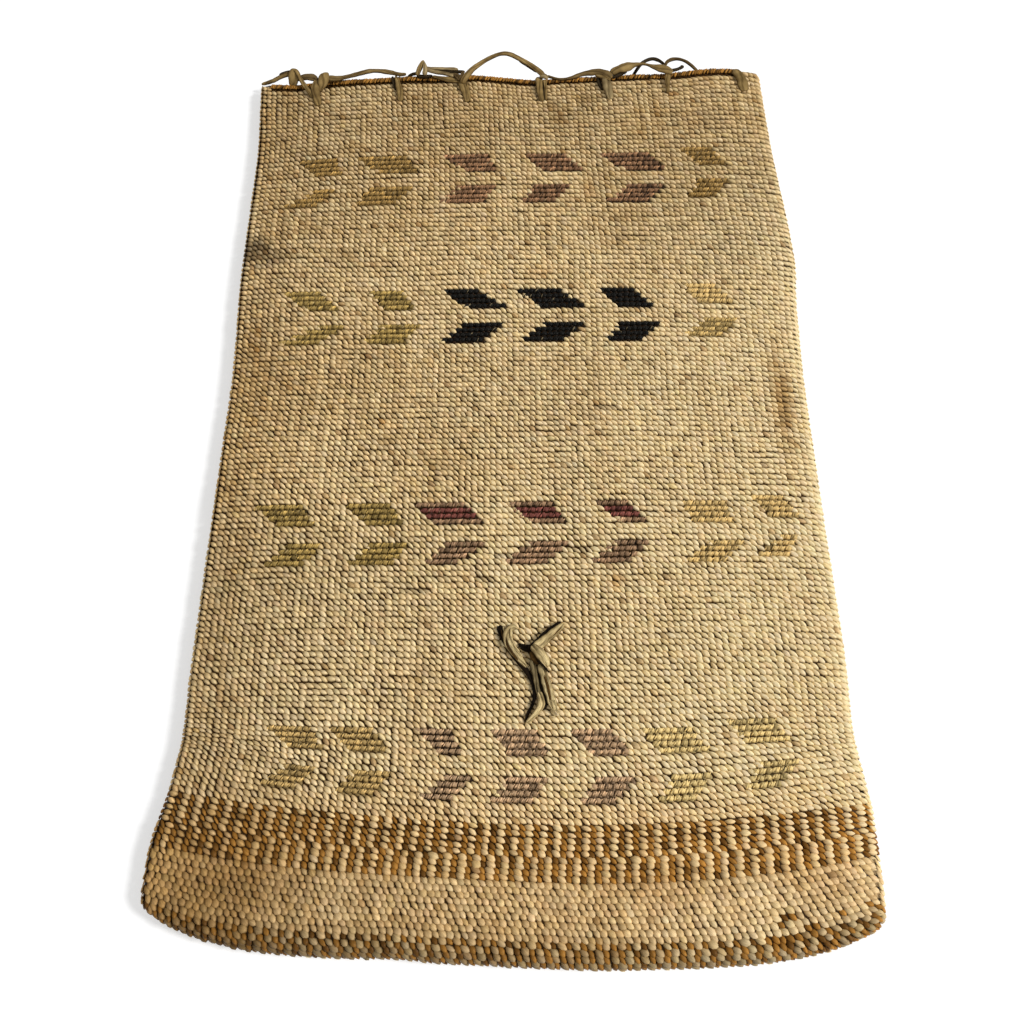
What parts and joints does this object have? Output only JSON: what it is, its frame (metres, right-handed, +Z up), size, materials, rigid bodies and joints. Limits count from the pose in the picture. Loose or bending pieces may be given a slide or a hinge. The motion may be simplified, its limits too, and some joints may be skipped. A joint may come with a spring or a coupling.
{
  "type": "corn husk flat bag",
  "caption": "Flat twined corn husk bag with small slanted motifs, brown and pale bands at the base and a hide lacing along its open mouth.",
  "frame": {"origin": "on the surface that the bag lies on, under the middle of its length and width", "axes": "+X to the right, +Y along the bag towards its mouth, +Z up out of the front"},
  "size_m": [0.3267, 0.5378, 0.0229],
  "materials": {
    "husk": "twined corn husk, dry and matt",
    "binding": "brown overcast husk, matt",
    "hide": "worn hide thong, matt",
    "dark_hide": "dark worn hide thong, matt",
    "pale_hide": "pale hide thong, matt"
  },
  "bodies": {
    "root": {"bag_body": "husk", "rim_binding": "binding", "thong_left": "hide", "thong_bight": "hide", "thong_middle": "hide", "thong_right": "hide", "thong_corner": "hide", "thong_back": "dark_hide", "front_tie": "pale_hide"}
  },
  "joints": []
}
